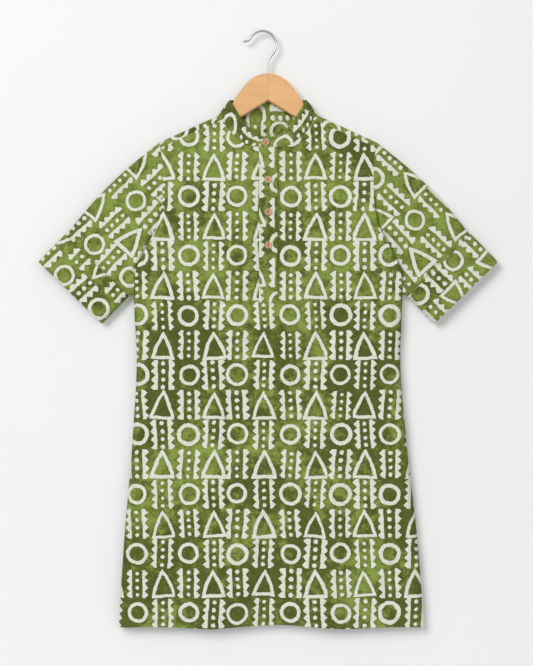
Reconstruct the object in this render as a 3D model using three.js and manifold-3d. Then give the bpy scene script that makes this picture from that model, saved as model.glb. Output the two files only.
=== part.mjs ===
// A short-sleeved cotton kurta tunic with a stand collar, hanging on a wooden coat hanger.
// Millimetres, +Z up. The inside of the hook's crown is the origin, the front faces -Y and +X is
// the wearer's left. A "drop" is a distance straight down from the inside of the hook's crown.

import * as THREE from "three";
import { mergeVertices } from "three/addons/utils/BufferGeometryUtils.js";
import Module from "manifold-3d";

const wasm = await Module();
wasm.setup();

// ---------------------------------------------------------------- driving dimensions

const CLOTH = 1.2; // wall of one layer of cloth
const SEAM = 0.3; // clear space between two pieces that are sewn together
const LAYER = CLOTH + SEAM; // from the middle of a panel to the middle of the layer sewn on it

// Body panels
const SHOULDER_HALF = 173.3; // centre line to the shoulder tip
const RIDGE_NECK = { x: 80, drop: 134 }; // where the shoulder fold meets the collar
const RIDGE_SLOPE = Math.tan(THREE.MathUtils.degToRad(24.6));
const SEAM_FORWARD = 9.7; // the shoulder seam lies this far down the front from the fold
const NECK_SIDE = 72; // half width of the neck at the shoulder seam
const NECK_FLARE = 7; // how much wider the neck is on top of the shoulder
const FLARE_REACH = 21; // the flare fades out over this much of the shoulder
const WRAP_RADIUS = 7.6; // fold of the back panel over the hanger's arm
const UNDERARM_DROP = 420;
const SLIT_DROP = 700; // top of the side slits
const HEM_DROP = 950;
const SWAY = 5; // the hem hangs this far towards the wearer's left
const SIDE_ROUND = 14; // how far in from a side seam the panel reaches its full depth
const UNDERARM_ROUND = 40; // how far above the underarm the armhole reaches its full depth
const SIDE_HALF = 0.5; // each panel's distance from the middle plane at the side seam
const UNDERARM_HALF = 1.4; // the same at the underarm point
const SLIT_OPEN = 3; // how far each panel stands off the middle plane at the slit's foot

// Half width of the panels: down the armhole, then down the side seam and slit
const OUTLINE = [
  { drop: 180, half: 173.3 },
  { drop: 215, half: 168 },
  { drop: 265, half: 168.5 },
  { drop: 305, half: 174 },
  { drop: 345, half: 194.5 },
  { drop: 387, half: 211.5 },
  { drop: 420, half: 214.5 },
  { drop: 520, half: 210.5 },
  { drop: 650, half: 218.5 },
  { drop: 800, half: 233 },
  { drop: 950, half: 244 },
];

// Half depth of the hollow body, front and back of the middle plane
const DEPTHS = [
  { drop: 190, front: 7.6, back: 7.6 },
  { drop: 300, front: 11.5, back: 10 },
  { drop: 450, front: 11.5, back: 10.5 },
  { drop: 700, front: 10.5, back: 9.5 },
  { drop: 950, front: 9.5, back: 8.5 },
];

const FRONT_NECK = [
  { x: 0, drop: 186.3 },
  { x: 30, drop: 183.7 },
  { x: 49, drop: 171 },
  { x: 62, drop: 158 },
  { x: 68, drop: 150 },
  { x: 72, drop: 140 },
];

const BACK_NECK = [
  { x: 0, drop: 142.6 },
  { x: 50, drop: 141.4 },
  { x: 72, drop: 140 },
];

// The stiff collar and placket hold the front neck forward
const NECK_BULGE = { depth: 12, width: 42, drop: 184, height: 70 };

// Soft vertical flutes that deepen towards the hem; a negative depth falls inwards
const FRONT_FLUTES = [
  { x: -175, width: 26, depth: 2.5, from: 560 },
  { x: -85, width: 34, depth: 5, from: 620 },
  { x: 10, width: 38, depth: -3, from: 600 },
  { x: 98, width: 36, depth: 5, from: 600 },
  { x: 182, width: 24, depth: 2.5, from: 640 },
];

const BACK_FLUTES = [
  { x: -150, width: 32, depth: 3, from: 600 },
  { x: -40, width: 36, depth: 5, from: 640 },
  { x: 60, width: 34, depth: -2.5, from: 620 },
  { x: 140, width: 36, depth: 4.5, from: 580 },
];

// Columns of the panels by their place at shoulder level: placket edge, neckline, shoulder
const COLUMNS = [0, 13.5, 30, 49, 62, 68, 72, 93, 118, 142, 159, 169, 173.3];
const ARMHOLE_ROWS = 10;
const WAIST_ROWS = 6;
const SLIT_ROWS = 5;

// Placket: a strip of the front is cut away, and two strips fill and cover it
const SLOT_COLUMN = COLUMNS[1]; // half width of the cut
const SLOT_LEVEL = 430; // foot of the cut, as the row's drop at the side seam
const PLACKET_HALF = 14.2; // half width of the covering strip
const PLACKET_GAP = 0.45; // the strip in the cut stands this far inside its edges
const PLACKET_OVERHANG = 4; // the covering strip runs this far below the cut

// Collar: a stand band, higher at the sides and back, where it is seen upright
const COLLAR_RATIO = 0.77; // width of the band's top edge against its seam
const COLLAR_FRONT_DROP = 169.3;
const COLLAR_FRONT_RISE = 0.0165; // rise of the front top edge, per square millimetre from centre
const COLLAR_BACK_DROP = 106;
const COLLAR_BACK_FALL = 0.0006; // fall of the back top edge towards its sides, in the same way
const COLLAR_TOP_DEPTH = 9; // the top edge's distance from the middle plane
const COLLAR_LAP = 2.4; // the wearer's left end stands this far in front of the right end
const COLLAR_CORNER = 9; // radius of the rounded ends
const COLLAR_OVER_END = [-11.5, -9.5, -5, 0]; // columns of the end that laps over
const COLLAR_UNDER_END = [0, 5, 9.5, 12]; // columns of the end underneath

// Sleeves: flattened tubes with a turned-up cuff
const CUFF_TOP = { x: 365, drop: 368 };
const CUFF_BOTTOM = { x: 266.5, drop: 464 };
const TURN_UP = 60; // depth of the cuff
const SLEEVE_DEPTH = 8; // half depth where the cuff begins
const MOUTH_DEPTH = 7; // half depth at the sleeve's mouth
const SLEEVE_GAP = 1.3; // middle of the sleeve head to the armhole edge, clear of both walls
const CAP_BULGE = 8; // outward curve of the top fold below the shoulder
const SLEEVE_STEPS = [0, 0.12, 0.3, 0.5, 0.7, 0.87, 1]; // rows from the armhole to the cuff
const CUFF_STEPS = [0.35, 0.68, 1]; // further rows to the mouth

// Hanger
const WOOD = 12; // thickness
const WOOD_BEVEL = 3;
const WOOD_BELOW_RIDGE = 3.6; // top of the arm under the shoulder fold
const ARM_HEIGHT = 22;
const ARM_END = 166; // centre line to the end of the arm
const ARM_KNEE = 84; // where the neck of the hanger runs out into the straight arm
const ARM_EASE = 8; // length over which the knee and the rounded end ease into the arm
const CROWN_DROP = 66.5; // top of the wood at its centre
const FORK_DROP = 110; // underside of the wood at its centre
const FORK_FOOT = { x: 62, drop: 148 }; // where the fork's underside ends

// The neck of the wood, from its crown down to the knee: pulls of its two curves, and their joint
const NECK_PULLS = [
  { x: 26, drop: CROWN_DROP },
  { x: 38, drop: 84 },
];
const NECK_JOINT = { x: 56, drop: 112 };
const NECK_LOWER_PULL = { x: 62, drop: 124 };
const HALF_JOINT = 0.15; // each half of the wood from the centre line

// Hook: round wire
const WIRE = 3.6;
const HOOK_RADIUS = 22; // of the wire's centre line in the crown
const HOOK_SIDE = 9; // the crown stands this far to the wearer's right of the shank
const SHANK_DEPTH = 20; // length of the shank inside the wood
const SHANK_TOP_DROP = 52; // where the straight shank ends
const CROWN_ANGLES = [-40, 150].map(THREE.MathUtils.degToRad); // from the swell to the tip
const SWELL_PULLS = { shank: 8, crown: { x: -5, z: -6 } }; // of the curve from shank to crown
const TIP_FLARE = [-2.3, -4, -5.5, -5.6, -10.5, -5.8]; // x and z from the end of the crown
const BORE_CLEARANCE = 0.35;
const WIRE_SIDES = 10;
const WIRE_STEPS = 44;

// Buttons
const BUTTON = { radius: 5.7, thickness: 2.6, rim: 1.3, dish: 0.7, hole: 0.8, spacing: 1.75, ease: 0.7 };
const BUTTON_TURN = 20; // sides of the turned outline
const BUTTON_DROPS = [237.3, 288.4, 341.3]; // down the placket
const COLLAR_BUTTON = { x: -3.8, drop: 180 };
const BUTTON_LIFT = 0.5; // clear space between a button and the cloth behind it

// ---------------------------------------------------------------- materials

function finish(color, roughness, metalness = 0) {
  return new THREE.MeshStandardMaterial({ color, roughness, metalness });
}

const PRINTED_COTTON = finish(0x728040, 0.9);
const BEECH = finish(0xd9a871, 0.4);
const CHROME = finish(0xc9ccce, 0.2, 1);
const SHELL = finish(0xb08a68, 0.5);

// ---------------------------------------------------------------- small helpers

const lerp = THREE.MathUtils.lerp;
const unit = (value) => THREE.MathUtils.clamp(value, 0, 1);
const smooth = (share) => THREE.MathUtils.smoothstep(share, 0, 1);
const bell = (value) => Math.exp(-value * value);

/** Quarter-round profile: 0 at the edge, 1 from a share of 1 inwards. */
function rounded(share) {
  return Math.sqrt(1 - (1 - unit(share)) ** 2);
}

/** `count` equal steps from one number to another, without the first. */
function steps(from, to, count) {
  return Array.from({ length: count }, (_, k) => lerp(from, to, (k + 1) / count));
}

/** Reads a column of a table at a key between its rows, on a smooth curve that never overshoots. */
function readTable(rows, key, column, at) {
  const last = rows.length - 1;
  if (at <= rows[0][key]) return rows[0][column];
  if (at >= rows[last][key]) return rows[last][column];
  const k = rows.findIndex((row) => row[key] > at) - 1;
  const slope = (i) => (rows[i + 1][column] - rows[i][column]) / (rows[i + 1][key] - rows[i][key]);
  const tangent = (i) => {
    if (i === 0) return slope(0);
    if (i === last) return slope(last - 1);
    const [before, after] = [slope(i - 1), slope(i)];
    return before * after <= 0 ? 0 : (2 * before * after) / (before + after);
  };
  const span = rows[k + 1][key] - rows[k][key];
  const t = (at - rows[k][key]) / span;
  return (
    rows[k][column] * (1 + 2 * t) * (1 - t) ** 2 +
    tangent(k) * span * t * (1 - t) ** 2 +
    rows[k + 1][column] * t * t * (3 - 2 * t) +
    tangent(k + 1) * span * t * t * (t - 1)
  );
}

// ---------------------------------------------------------------- cloth walls from lattices

/**
 * Cells of a lattice whose rows run down and whose columns run to the right as seen from outside.
 * `closed` joins the last column to the first, `flip` is for the opposite hand, and `keep` tells
 * which cells hold cloth.
 */
function latticeCells(rows, { closed = false, flip = false, keep = () => true } = {}) {
  const columns = rows[0].length;
  const spans = closed ? columns : columns - 1;
  const at = (i, j) => j * columns + (i % columns);
  const cells = [];
  for (let j = 0; j < rows.length - 1; j++) {
    for (let i = 0; i < spans; i++) {
      if (!keep(i, j)) continue;
      const cell = [at(i, j), at(i, j + 1), at(i + 1, j + 1), at(i + 1, j)];
      cells.push(flip ? cell.reverse() : cell);
    }
  }
  return cells;
}

/** Outward unit normal at each lattice point, the mean of its cells' normals. */
function latticeNormals(points, cells) {
  const normals = points.map(() => new THREE.Vector3());
  for (const cell of cells) {
    const [a, b, c, d] = cell.map((k) => points[k]);
    const across = new THREE.Vector3().subVectors(c, a);
    const normal = across.cross(new THREE.Vector3().subVectors(d, b)).normalize();
    cell.forEach((k) => normals[k].add(normal));
  }
  return normals.map((normal) => normal.normalize());
}

/** The same lattice moved outwards: the layer that lies on a panel. */
function lifted(rows, distance, options) {
  const normals = latticeNormals(rows.flat(), latticeCells(rows, options));
  const columns = rows[0].length;
  return rows.map((row, j) =>
    row.map((point, i) => point.clone().addScaledVector(normals[j * columns + i], distance)),
  );
}

/** A closed wall of cloth around a lattice of mid-surface points. */
function wall(rows, options = {}) {
  const points = rows.flat();
  const cells = latticeCells(rows, options);
  const normals = latticeNormals(points, cells);
  const outer = points.map((p, k) => p.clone().addScaledVector(normals[k], CLOTH / 2));
  const inner = points.map((p, k) => p.clone().addScaledVector(normals[k], -CLOTH / 2));
  const inside = points.length; // the inner point of outer point k is k + inside
  const edges = new Set();
  const index = [];
  const quad = (a, b, c, d) => index.push(a, b, c, a, c, d);
  for (const cell of cells) {
    const [a, b, c, d] = cell;
    quad(a, b, c, d);
    quad(d + inside, c + inside, b + inside, a + inside);
    cell.forEach((from, k) => edges.add(`${from},${cell[(k + 1) % 4]}`));
  }
  for (const edge of edges) {
    const [from, to] = edge.split(",").map(Number);
    if (!edges.has(`${to},${from}`)) quad(to, from, from + inside, to + inside);
  }
  const positions = [...outer, ...inner].flatMap((p) => p.toArray());
  const geometry = new THREE.BufferGeometry();
  geometry.setAttribute("position", new THREE.Float32BufferAttribute(positions, 3));
  geometry.setIndex(index);
  return geometry;
}

// ---------------------------------------------------------------- body panels

function ridgeDrop(x) {
  return RIDGE_NECK.drop + (Math.abs(x) - RIDGE_NECK.x) * RIDGE_SLOPE;
}

function shoulderSeamDrop(x) {
  return ridgeDrop(x) + SEAM_FORWARD;
}

const SEAM_TIP_DROP = shoulderSeamDrop(SHOULDER_HALF);

function flutes(table, x, drop) {
  return table.reduce((sum, flute) => {
    const grown = smooth((drop - flute.from) / (HEM_DROP - flute.from));
    return sum + flute.depth * bell((x - flute.x) / flute.width) * grown;
  }, 0);
}

const FRONT = {
  side: -1,
  middle: (drop) => readTable(DEPTHS, "drop", "front", drop),
  neckline: (x) => readTable(FRONT_NECK, "x", "drop", x),
  relief: (x, drop) =>
    flutes(FRONT_FLUTES, x, drop) +
    NECK_BULGE.depth * bell(x / NECK_BULGE.width) * bell((drop - NECK_BULGE.drop) / NECK_BULGE.height),
};

const BACK = {
  side: 1,
  middle: (drop) => readTable(DEPTHS, "drop", "back", drop),
  neckline: (x) => readTable(BACK_NECK, "x", "drop", x),
  relief: (x, drop) => flutes(BACK_FLUTES, x, drop),
};

/** Distance of a panel's outer edge from the middle plane, at the armhole, side seam or slit. */
function edgeDepth(panel, drop) {
  if (drop < UNDERARM_DROP) {
    const full = panel.middle(drop) * rounded((UNDERARM_DROP - drop) / UNDERARM_ROUND);
    return Math.max(UNDERARM_HALF, full);
  }
  const closing = 1 - smooth((drop - UNDERARM_DROP) / (UNDERARM_ROUND / 2));
  const opening = smooth((drop - SLIT_DROP) / (HEM_DROP - SLIT_DROP));
  return SIDE_HALF + (UNDERARM_HALF - SIDE_HALF) * closing + SLIT_OPEN * opening;
}

/** A point of a panel: `across` is its x at shoulder level, `down` runs from 0 at the top to 1. */
function panelPoint(panel, across, down) {
  const reach = Math.abs(across);
  const top = reach < NECK_SIDE ? panel.neckline(reach) : shoulderSeamDrop(reach);
  const drop = lerp(top, HEM_DROP, down);
  const half = readTable(OUTLINE, "drop", "half", drop);
  const share = across / SHOULDER_HALF;
  const level = across + (half - SHOULDER_HALF) * share * Math.abs(share);
  const x = level + SWAY * smooth((drop - UNDERARM_DROP) / (HEM_DROP - UNDERARM_DROP));
  const edge = edgeDepth(panel, drop);
  const full = panel.middle(drop) + panel.relief(x, drop);
  const depth = lerp(edge, full, rounded((half - Math.abs(level)) / SIDE_ROUND));
  return new THREE.Vector3(x, panel.side * depth, -drop);
}

/** A point of the back panel's fold over the shoulder, from `turn` 0 in front to 1 behind. */
function wrapPoint(across, turn) {
  const up = Math.sin(Math.PI * turn);
  const flare = NECK_FLARE * up * unit(1 - (Math.abs(across) - NECK_SIDE) / FLARE_REACH);
  const x = across + Math.sign(across) * flare;
  const drop = ridgeDrop(x) + WRAP_RADIUS * (1 - up);
  return new THREE.Vector3(x, -WRAP_RADIUS * Math.cos(Math.PI * turn), -drop);
}

/** The back panel's edge at the shoulder seam, one seam's gap above the front panel. */
function seamPoint(across) {
  const drop = shoulderSeamDrop(across) - SEAM / Math.cos(Math.atan(RIDGE_SLOPE));
  return new THREE.Vector3(across, -WRAP_RADIUS, -drop);
}

const ACROSS = [...COLUMNS.slice(1).reverse().map((x) => -x), ...COLUMNS];
const WRAP_TURNS = [1, 2, 3, 4, 5].map((k) => k / 6);
const LEVELS = [
  SEAM_TIP_DROP,
  ...steps(SEAM_TIP_DROP, UNDERARM_DROP, ARMHOLE_ROWS),
  SLOT_LEVEL,
  ...steps(SLOT_LEVEL, SLIT_DROP, WAIST_ROWS),
  ...steps(SLIT_DROP, HEM_DROP, SLIT_ROWS),
];
const DOWN = LEVELS.map((level) => (level - SEAM_TIP_DROP) / (HEM_DROP - SEAM_TIP_DROP));
const SLOT_ROW = LEVELS.indexOf(SLOT_LEVEL);

function frontGeometry() {
  const rows = DOWN.map((down) => ACROSS.map((across) => panelPoint(FRONT, across, down)));
  const inSlot = (i) => Math.abs(ACROSS[i] + ACROSS[i + 1]) / 2 < SLOT_COLUMN;
  return wall(rows, { keep: (i, j) => !(inSlot(i) && j < SLOT_ROW) });
}

function backGeometry() {
  const across = [...ACROSS].reverse();
  const wrapRows = [
    across.map(seamPoint),
    ...WRAP_TURNS.map((turn) => across.map((x) => wrapPoint(x, turn))),
  ];
  const rows = [...wrapRows, ...DOWN.map((down) => across.map((x) => panelPoint(BACK, x, down)))];
  const inNeck = (i) => Math.abs(across[i] + across[i + 1]) / 2 < NECK_SIDE;
  return wall(rows, { keep: (i, j) => !(inNeck(i) && j < wrapRows.length) });
}

// ---------------------------------------------------------------- placket

/** The strip in the cut, under the other one. */
function placketUnderGeometry() {
  const half = SLOT_COLUMN - PLACKET_GAP;
  const foot = DOWN[SLOT_ROW] - PLACKET_GAP / (HEM_DROP - FRONT_NECK[0].drop);
  const downs = [...DOWN.slice(0, SLOT_ROW), foot];
  return wall(downs.map((down) => [-half, 0, half].map((x) => panelPoint(FRONT, x, down))));
}

function placketOverRows() {
  const foot = DOWN[SLOT_ROW] + PLACKET_OVERHANG / (HEM_DROP - FRONT_NECK[0].drop);
  const downs = [...DOWN.slice(0, SLOT_ROW + 1), foot];
  const half = PLACKET_HALF;
  return lifted(
    downs.map((down) => [-half, 0, half].map((x) => panelPoint(FRONT, x, down))),
    LAYER,
  );
}

// ---------------------------------------------------------------- collar

/** The band's top edge above a point of its seam. */
function collarTop(seam) {
  const x = COLLAR_RATIO * seam.x;
  const drop =
    seam.y < 0
      ? COLLAR_FRONT_DROP - COLLAR_FRONT_RISE * x * x
      : COLLAR_BACK_DROP + COLLAR_BACK_FALL * x * x;
  const y = COLLAR_TOP_DEPTH * THREE.MathUtils.clamp(seam.y / WRAP_RADIUS, -1, 1);
  return new THREE.Vector3(x, y, -drop);
}

/** The neck seam in order: over end, left shoulder, back, right shoulder, under end. */
function neckSeam() {
  const frontColumns = COLUMNS.filter((x) => x > 0 && x <= NECK_SIDE);
  const front = (x) => ({ point: panelPoint(FRONT, x, 0), end: Infinity, lap: 0 });
  const overEnd = COLLAR_OVER_END.map((x) => ({ ...front(x), end: x - COLLAR_OVER_END[0], lap: 1 }));
  const underEnd = COLLAR_UNDER_END.map((x) => ({ ...front(x), end: COLLAR_UNDER_END.at(-1) - x }));
  const leftFront = frontColumns.map((x, k) => ({ ...front(x), lap: k === 0 ? 1 : 0 }));
  const rightFront = frontColumns.map((x) => front(-x)).reverse();
  const wrap = (x) => [0, ...WRAP_TURNS, 1].map((turn) => ({ ...front(x), point: wrapPoint(x, turn) }));
  const backColumns = ACROSS.filter((x) => Math.abs(x) < NECK_SIDE).reverse();
  const back = backColumns.map((x) => ({ ...front(x), point: panelPoint(BACK, x, 0) }));
  return [
    ...overEnd,
    ...leftFront,
    ...wrap(NECK_SIDE),
    ...back,
    ...wrap(-NECK_SIDE).reverse(),
    ...rightFront,
    ...underEnd,
  ];
}

function collarRows() {
  const columns = neckSeam().map(({ point, end, lap }) => {
    const top = collarTop(point);
    const height = top.distanceTo(point);
    const corner = COLLAR_CORNER * (1 - rounded(end / COLLAR_CORNER));
    const foot = point.clone().lerp(top, (SEAM + CLOTH / 2) / height);
    const peak = top.lerp(point, corner / height);
    [foot, peak].forEach((p) => (p.y -= COLLAR_LAP * lap));
    return [peak, peak.clone().lerp(foot, 0.5), foot];
  });
  return [0, 1, 2].map((j) => columns.map((column) => column[j]));
}

// ---------------------------------------------------------------- sleeves and cuffs

/** The armhole's edge from the underarm up the front, over the shoulder and down the back. */
function armholeRing() {
  const downs = DOWN.slice(0, ARMHOLE_ROWS + 1);
  return [
    ...downs.map((down) => panelPoint(FRONT, SHOULDER_HALF, down)).reverse(),
    ...WRAP_TURNS.map((turn) => wrapPoint(SHOULDER_HALF, turn)),
    ...downs.map((down) => panelPoint(BACK, SHOULDER_HALF, down)),
  ];
}

/** A point across the sleeve, `share` 0 on the top fold and 1 on the lower fold. */
function acrossSleeve(share, backFromMouth) {
  const top = new THREE.Vector3(CUFF_TOP.x, 0, -CUFF_TOP.drop);
  const bottom = new THREE.Vector3(CUFF_BOTTOM.x, 0, -CUFF_BOTTOM.drop);
  const line = new THREE.Vector3().subVectors(bottom, top).normalize();
  const inward = new THREE.Vector3(line.z, 0, -line.x);
  return top.lerp(bottom, share).addScaledVector(inward, backFromMouth);
}

/** Rings of the sleeve on the wearer's left: from the armhole to the cuff, and on to the mouth. */
function sleeveRings() {
  const armhole = armholeRing();
  const count = armhole.length;
  const capDrop = ridgeDrop(SHOULDER_HALF);
  const outward = new THREE.Vector3(1, 0, 1).normalize();
  const ribs = armhole.map((start, k) => {
    const share = (-start.z - capDrop) / (UNDERARM_DROP - capDrop);
    const fullness = THREE.MathUtils.clamp(start.y / WRAP_RADIUS, -1, 1);
    const fold = acrossSleeve(share, TURN_UP).setY(fullness * SLEEVE_DEPTH);
    const mouth = acrossSleeve(share, 0).setY(fullness * MOUTH_DEPTH);
    const along = new THREE.Vector3()
      .subVectors(armhole[(k + 1) % count], armhole[(k + count - 1) % count])
      .normalize();
    const away = new THREE.Vector3().subVectors(fold, start);
    away.addScaledVector(along, -away.dot(along)).normalize();
    const first = start.clone().addScaledVector(away, SLEEVE_GAP);
    return { share, first, fold, mouth };
  });
  const upper = SLEEVE_STEPS.map((step) =>
    ribs.map(({ share, first, fold }) => {
      const bulge = CAP_BULGE * Math.sin(Math.PI * step) * (1 - share) ** 2;
      return first.clone().lerp(fold, step).addScaledVector(outward, bulge);
    }),
  );
  const lower = CUFF_STEPS.map((step) => ribs.map(({ fold, mouth }) => fold.clone().lerp(mouth, step)));
  return { upper, lower };
}

function mirrored(rows) {
  return rows.map((row) => row.map((p) => new THREE.Vector3(-p.x, p.y, p.z)));
}

// ---------------------------------------------------------------- hard pieces

/** A three.js geometry as a solid that can be cut. */
function solid(geometry) {
  const bare = geometry.clone();
  bare.deleteAttribute("normal");
  bare.deleteAttribute("uv");
  const merged = mergeVertices(bare, 1e-4);
  return new wasm.Manifold(
    new wasm.Mesh({
      numProp: 3,
      vertProperties: merged.attributes.position.array,
      triVerts: new Uint32Array(merged.index.array),
    }),
  );
}

/** A cut solid as a three.js geometry. */
function geometryOf(cut) {
  const mesh = cut.getMesh();
  const geometry = new THREE.BufferGeometry();
  geometry.setAttribute("position", new THREE.BufferAttribute(mesh.vertProperties, 3));
  geometry.setIndex(new THREE.BufferAttribute(mesh.triVerts, 1));
  return geometry;
}

/** Outline of one half of the hanger, run on past the centre line, where it is sawn off. */
function armShape() {
  const top = (x) => -(ridgeDrop(x) + WOOD_BELOW_RIDGE);
  const under = (x) => top(x) - ARM_HEIGHT;
  const shape = new THREE.Shape();
  shape.moveTo(-WOOD, -CROWN_DROP);
  shape.lineTo(0, -CROWN_DROP);
  const at = ({ x, drop }) => [x, -drop];
  const onTop = (x) => [x, top(x)];
  const onUnder = (x) => [x, under(x)];
  shape.bezierCurveTo(...NECK_PULLS.flatMap(at), ...at(NECK_JOINT));
  shape.bezierCurveTo(...at(NECK_LOWER_PULL), ...onTop(ARM_KNEE - ARM_EASE), ...onTop(ARM_KNEE));
  shape.lineTo(...onTop(ARM_END - ARM_EASE));
  shape.bezierCurveTo(...onTop(ARM_END), ...onUnder(ARM_END), ...onUnder(ARM_END - ARM_EASE));
  shape.lineTo(...onUnder(ARM_KNEE + ARM_EASE));
  shape.quadraticCurveTo(...onUnder(ARM_KNEE - ARM_EASE), ...at(FORK_FOOT));
  shape.lineTo(0, -FORK_DROP);
  shape.lineTo(-WOOD, -FORK_DROP);
  return shape;
}

/** The half of the hanger's wood on the wearer's left, sawn at the centre, bored for the shank. */
function armGeometry() {
  const blank = new THREE.ExtrudeGeometry(armShape(), {
    depth: WOOD - 2 * WOOD_BEVEL,
    bevelThickness: WOOD_BEVEL,
    bevelSize: WOOD_BEVEL,
    bevelOffset: -WOOD_BEVEL,
    bevelSegments: 2,
    curveSegments: 8,
  });
  blank.translate(0, 0, -WOOD / 2 + WOOD_BEVEL);
  blank.rotateX(Math.PI / 2);
  const offcut = new THREE.BoxGeometry(2 * WOOD, 2 * WOOD, 2 * FORK_DROP);
  offcut.translate(HALF_JOINT - WOOD, 0, -FORK_DROP);
  const boreRadius = WIRE / 2 + BORE_CLEARANCE;
  const boreLength = SHANK_DEPTH + 2 * BORE_CLEARANCE;
  const bore = new THREE.CylinderGeometry(boreRadius, boreRadius, 2 * boreLength, 16);
  bore.rotateX(Math.PI / 2);
  bore.translate(0, 0, -CROWN_DROP);
  return geometryOf(solid(blank).subtract(solid(offcut)).subtract(solid(bore)));
}

function hookGeometry() {
  const foot = -CROWN_DROP - SHANK_DEPTH;
  const centre = { x: -HOOK_SIDE, z: WIRE / 2 - HOOK_RADIUS };
  const [startAngle, endAngle] = CROWN_ANGLES;
  const onCrown = (angle) => ({
    x: centre.x + HOOK_RADIUS * Math.cos(angle),
    z: centre.z + HOOK_RADIUS * Math.sin(angle),
  });
  const start = onCrown(startAngle);
  const end = onCrown(endAngle);
  const line = new THREE.Path();
  line.moveTo(0, foot);
  line.lineTo(0, -SHANK_TOP_DROP);
  const pull = { x: start.x + SWELL_PULLS.crown.x, z: start.z + SWELL_PULLS.crown.z };
  line.bezierCurveTo(0, SWELL_PULLS.shank - SHANK_TOP_DROP, pull.x, pull.z, start.x, start.z);
  line.absarc(centre.x, centre.z, HOOK_RADIUS, startAngle, endAngle, false);
  line.bezierCurveTo(...TIP_FLARE.map((offset, k) => offset + (k % 2 === 0 ? end.x : end.z)));
  const points = line.getSpacedPoints(WIRE_STEPS).map((p) => new THREE.Vector3(p.x, 0, p.y));
  const section = new THREE.Shape();
  section.absarc(0, 0, WIRE / 2, 0, 2 * Math.PI, false);
  return new THREE.ExtrudeGeometry(section, {
    steps: WIRE_STEPS,
    curveSegments: WIRE_SIDES / 2,
    extrudePath: new THREE.CatmullRomCurve3(points),
  });
}

/** A dished button with two holes, one above the other, facing the front. */
function buttonGeometry() {
  const { radius, thickness, rim, dish, hole, spacing, ease } = BUTTON;
  const profile = [
    [0, 0],
    [radius - ease, 0],
    [radius, ease],
    [radius, thickness - ease],
    [radius - ease, thickness],
    [radius - rim, thickness],
    [radius - rim - dish, thickness - dish],
    [0, thickness - dish],
  ].map(([r, h]) => new THREE.Vector2(r, h));
  let blank = solid(new THREE.LatheGeometry(profile, BUTTON_TURN));
  for (const z of [-spacing, spacing]) {
    const drill = new THREE.CylinderGeometry(hole, hole, 3 * thickness, 8);
    blank = blank.subtract(solid(drill.translate(0, 0, z)));
  }
  return geometryOf(blank).rotateX(Math.PI);
}

// ---------------------------------------------------------------- assembly

function mesh(name, geometry, material) {
  geometry.computeVertexNormals();
  const made = new THREE.Mesh(geometry, material);
  made.name = name;
  return made;
}

function tunic() {
  const group = new THREE.Group();
  group.add(mesh("front", frontGeometry(), PRINTED_COTTON));
  group.add(mesh("back", backGeometry(), PRINTED_COTTON));
  group.add(mesh("placket_under", placketUnderGeometry(), PRINTED_COTTON));
  const placket = placketOverRows();
  group.add(mesh("placket_over", wall(placket), PRINTED_COTTON));
  const collar = collarRows();
  group.add(mesh("collar", wall(collar), PRINTED_COTTON));

  const { upper, lower } = sleeveRings();
  const left = [...upper, ...lower];
  const cuff = [upper.at(-1), ...lower];
  group.add(mesh("sleeve_left", wall(left, { closed: true }), PRINTED_COTTON));
  group.add(mesh("sleeve_right", wall(mirrored(left), { closed: true, flip: true }), PRINTED_COTTON));
  const cuffLeft = lifted(cuff, LAYER, { closed: true });
  group.add(mesh("cuff_left", wall(cuffLeft, { closed: true }), PRINTED_COTTON));
  group.add(mesh("cuff_right", wall(mirrored(cuffLeft), { closed: true, flip: true }), PRINTED_COTTON));

  group.add(...buttons(placket, collar));
  return group;
}

/** Each button lies on the cloth behind it and leans with it. */
function buttons(placket, collar) {
  const collarColumn = COLLAR_OVER_END.length - 2;
  const onCollar = { x: COLLAR_BUTTON.x, drop: COLLAR_BUTTON.drop, rows: collar, column: collarColumn };
  const onPlacket = BUTTON_DROPS.map((drop) => ({ x: 0, drop, rows: placket, column: 1 }));
  return [onCollar, ...onPlacket].map(({ x, drop, rows, column }, k) => {
    const row = rows.findIndex((points) => -points[column].z > drop);
    const [above, below] = [rows[row - 1][column], rows[row][column]];
    const behind = above.clone().lerp(below, (drop + above.z) / (above.z - below.z));
    const lean = Math.atan2(above.y - below.y, above.z - below.z);
    const lift = CLOTH / 2 + BUTTON_LIFT;
    const made = mesh(`button_${k + 1}`, buttonGeometry(), SHELL);
    made.position.set(x, behind.y - lift * Math.cos(lean), behind.z + lift * Math.sin(lean));
    made.rotation.x = -lean;
    return made;
  });
}

function hanger() {
  const group = new THREE.Group();
  const arm = armGeometry();
  const left = mesh("hanger_arm_left", arm, BEECH);
  const right = mesh("hanger_arm_right", arm.clone(), BEECH);
  right.scale.x = -1;
  group.add(left, right, mesh("hanger_hook", hookGeometry(), CHROME));
  return group;
}

const kurta = new THREE.Group();
kurta.add(tunic(), hanger());
kurta.position.x = HOOK_SIDE; // the crown of the hook, not its shank, is over the origin

export default kurta;
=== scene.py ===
"""A block-printed cotton kurta tunic, hanging flat on a wooden coat hanger."""

import math

import bpy
import numpy as np
from bpy.props import FloatProperty, FloatVectorProperty, PointerProperty
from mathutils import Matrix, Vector
from numpy.linalg import norm


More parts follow.
